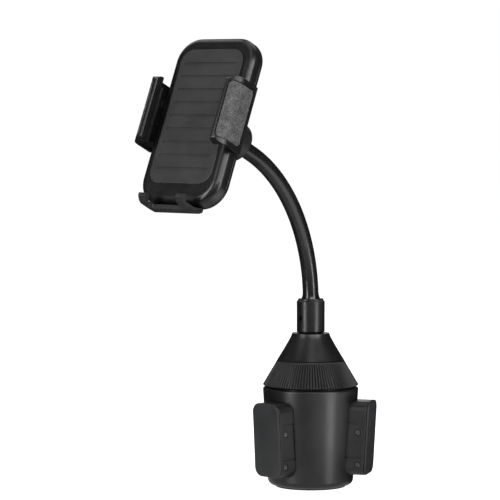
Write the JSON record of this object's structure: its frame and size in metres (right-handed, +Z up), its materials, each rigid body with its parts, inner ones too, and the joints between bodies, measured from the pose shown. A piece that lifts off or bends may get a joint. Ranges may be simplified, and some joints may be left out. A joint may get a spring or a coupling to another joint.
{
  "type": "car phone mount",
  "caption": "Phone cradle with sliding side arms and a bottom support, on a clamped ball joint and a gooseneck, over a cup-holder base with expanding feet.",
  "frame": {"origin": "middle of the base's underside, on the base's axis", "axes": "+Z up; the gooseneck bends towards -Y and the cradle faces -Y, leaning back 24 degrees; X runs across the cradle"},
  "size_m": [0.0848, 0.1912, 0.2979],
  "materials": {
    "base_plastic": "satin",
    "dial_plastic": "satin",
    "foot_plastic": "fine grain",
    "hidden_plastic": "as moulded",
    "foot_rubber": "matt",
    "grip_rubber": "matt",
    "dark_screws": "blackened",
    "plain_steel": "turned",
    "gooseneck_core": "wound wire under a sleeve",
    "neck_sleeve": "satin",
    "nut_plastic": "satin",
    "case_plastic": "polished edge",
    "arm_plastic": "satin",
    "inlay": "leather grain",
    "gear_plastic": "natural",
    "button_plastic": "fine grain",
    "support_plastic": "satin"
  },
  "bodies": {
    "base": {"base_pad": "grip_rubber", "bottom_cover": "hidden_plastic", "base_screws": "dark_screws", "base_body": "base_plastic", "spindle": "plain_steel", "guide_plate": "hidden_plastic", "guide_screws": "dark_screws", "cone_cap": "base_plastic", "collar": "base_plastic", "collar_set_screw": "dark_screws", "neck_ferrule": "gooseneck_core"},
    "dial": {"scroll_disc": "hidden_plastic", "dial_ring": "dial_plastic", "dial_screws": "dark_screws"},
    "foot_1": {"foot_arm_1": "foot_plastic", "foot_plate_1": "hidden_plastic", "foot_pad_1": "foot_rubber", "foot_pin_1": "plain_steel", "foot_screws_1": "dark_screws"},
    "foot_2": {"foot_arm_2": "foot_plastic", "foot_plate_2": "hidden_plastic", "foot_pad_2": "foot_rubber", "foot_pin_2": "plain_steel", "foot_screws_2": "dark_screws"},
    "foot_3": {"foot_arm_3": "foot_plastic", "foot_plate_3": "hidden_plastic", "foot_pad_3": "foot_rubber", "foot_pin_3": "plain_steel", "foot_screws_3": "dark_screws"},
    "neck_1": {"neck_link_1": "gooseneck_core"},
    "neck_2": {"neck_link_2": "gooseneck_core"},
    "neck_3": {"neck_link_3": "gooseneck_core"},
    "neck_4": {"neck_link_4": "gooseneck_core"},
    "neck_5": {"neck_link_5": "gooseneck_core"},
    "neck_6": {"neck_link_6": "gooseneck_core"},
    "neck_7": {"neck_link_7": "gooseneck_core"},
    "neck_8": {"neck_link_8": "gooseneck_core"},
    "neck_tip": {"ball_stud": "plain_steel"},
    "washer": {"ball_washer": "grip_rubber"},
    "collet": {"ball_collet": "hidden_plastic"},
    "cradle": {"ball_socket": "hidden_plastic", "socket_screws": "dark_screws", "front_case": "case_plastic", "rear_case": "case_plastic", "case_screws": "dark_screws", "cradle_pad": "grip_rubber", "pinion_pin": "plain_steel", "button_spring": "plain_steel"},
    "nut": {"ball_nut": "nut_plastic"},
    "right_arm": {"arm_right": "arm_plastic", "arm_inlay_right": "inlay", "arm_pad_right": "grip_rubber"},
    "left_arm": {"arm_left": "arm_plastic", "arm_inlay_left": "inlay", "arm_pad_left": "grip_rubber"},
    "pinion_wheel": {"pinion": "gear_plastic"},
    "button": {"release_button": "button_plastic"},
    "support": {"bottom_support": "support_plastic"}
  },
  "joints": [
    {"name": "dial_turn", "type": "hinge", "parent": "base", "child": "dial", "pos_m": [0, 0, 0.0655], "axis": [0, 0, 1], "range_deg": [-144.2, 108.2]},
    {"name": "foot_slide_1", "type": "slide", "parent": "base", "child": "foot_1", "axis": [-0.1305, -0.9914, 0], "range_m": [-0.008, 0.006]},
    {"name": "foot_slide_2", "type": "slide", "parent": "base", "child": "foot_2", "axis": [0.9239, 0.3827, 0], "range_m": [-0.00801, 0.00601]},
    {"name": "foot_slide_3", "type": "slide", "parent": "base", "child": "foot_3", "axis": [-0.7934, 0.6088, 0], "range_m": [-0.00801, 0.00601]},
    {"name": "neck_bend", "type": "hinge", "parent": "base", "child": "neck_1", "pos_m": [0, -0.00022, 0.131], "axis": [1, 0, 0], "range_deg": [-13.2, 6]},
    {"name": "neck_lean", "type": "hinge", "parent": "neck_1", "child": "neck_2", "pos_m": [0, -0.00217, 0.14566], "axis": [0, 0.9801, 0.1987], "range_deg": [-10, 10]},
    {"name": "neck_bend_2", "type": "hinge", "parent": "neck_2", "child": "neck_3", "pos_m": [0, -0.00609, 0.15993], "axis": [1, 0, 0], "range_deg": [-13.2, 6]},
    {"name": "neck_lean_2", "type": "hinge", "parent": "neck_3", "child": "neck_4", "pos_m": [0, -0.01191, 0.17354], "axis": [0, 0.8908, 0.4545], "range_deg": [-10, 10]},
    {"name": "neck_bend_3", "type": "hinge", "parent": "neck_4", "child": "neck_5", "pos_m": [0, -0.01951, 0.18623], "axis": [1, 0, 0], "range_deg": [-13.2, 6]},
    {"name": "neck_lean_3", "type": "hinge", "parent": "neck_5", "child": "neck_6", "pos_m": [0, -0.02876, 0.19778], "axis": [0, 0.7361, 0.6769], "range_deg": [-10, 10]},
    {"name": "neck_bend_4", "type": "hinge", "parent": "neck_6", "child": "neck_7", "pos_m": [0, -0.0395, 0.20797], "axis": [1, 0, 0], "range_deg": [-13.2, 6]},
    {"name": "neck_lean_4", "type": "hinge", "parent": "neck_7", "child": "neck_8", "pos_m": [0, -0.05151, 0.2166], "axis": [0, 0.5275, 0.8496], "range_deg": [-10, 10]},
    {"name": "neck_bend_5", "type": "hinge", "parent": "neck_8", "child": "neck_tip", "pos_m": [0, -0.06458, 0.22354], "axis": [1, 0, 0], "range_deg": [-13.2, 6]},
    {"name": "ball_tilt", "type": "hinge", "parent": "neck_tip", "child": "washer", "pos_m": [0, -0.08951, 0.23466], "axis": [1, 0, 0], "range_deg": [-18, 18]},
    {"name": "ball_swivel", "type": "hinge", "parent": "washer", "child": "collet", "pos_m": [0, -0.08951, 0.23466], "axis": [0, 0.4075, 0.9132], "range_deg": [-18, 18]},
    {"name": "cradle_spin", "type": "hinge", "parent": "collet", "child": "cradle", "pos_m": [0, -0.08951, 0.23466], "axis": [0, -0.9132, 0.4075], "continuous": true},
    {"name": "nut_turn", "type": "hinge", "parent": "cradle", "child": "nut", "pos_m": [0, -0.08951, 0.23466], "axis": [0, -0.9132, 0.4075], "range_deg": [-90, 0]},
    {"name": "arm_slide_right", "type": "slide", "parent": "cradle", "child": "right_arm", "axis": [1, 0, 0], "range_m": [0, 0.014]},
    {"name": "arm_slide_left", "type": "slide", "parent": "cradle", "child": "left_arm", "axis": [-1, 0, 0], "range_m": [0, 0.014]},
    {"name": "pinion_turn", "type": "hinge", "parent": "cradle", "child": "pinion_wheel", "pos_m": [0, -0.11553, 0.24628], "axis": [0, -0.9132, 0.4075], "range_deg": [0, 134]},
    {"name": "button_press", "type": "slide", "parent": "cradle", "child": "button", "axis": [0, -0.9132, 0.4075], "range_m": [0, 0.0016], "stiffness_N_per_m": 800, "springref_m": -0.001, "deforming": ["button_spring"]},
    {"name": "support_slide", "type": "slide", "parent": "cradle", "child": "support", "axis": [0, -0.4075, -0.9132], "range_m": [0, 0.012]}
  ],
  "couplings": [
    {"joint": "dial_turn", "follows": "foot_slide_1", "rad_per_m": 314.16},
    {"joint": "foot_slide_2", "follows": "foot_slide_1", "ratio": 1},
    {"joint": "foot_slide_3", "follows": "foot_slide_1", "ratio": 1},
    {"joint": "neck_bend_2", "follows": "neck_bend", "ratio": 1},
    {"joint": "neck_lean_2", "follows": "neck_lean", "ratio": 1},
    {"joint": "neck_bend_3", "follows": "neck_bend", "ratio": 1},
    {"joint": "neck_lean_3", "follows": "neck_lean", "ratio": 1},
    {"joint": "neck_bend_4", "follows": "neck_bend", "ratio": 1},
    {"joint": "neck_lean_4", "follows": "neck_lean", "ratio": 1},
    {"joint": "neck_bend_5", "follows": "neck_bend", "ratio": 1},
    {"joint": "arm_slide_left", "follows": "arm_slide_right", "ratio": 1},
    {"joint": "pinion_turn", "follows": "arm_slide_right", "rad_per_m": 166.67}
  ]
}
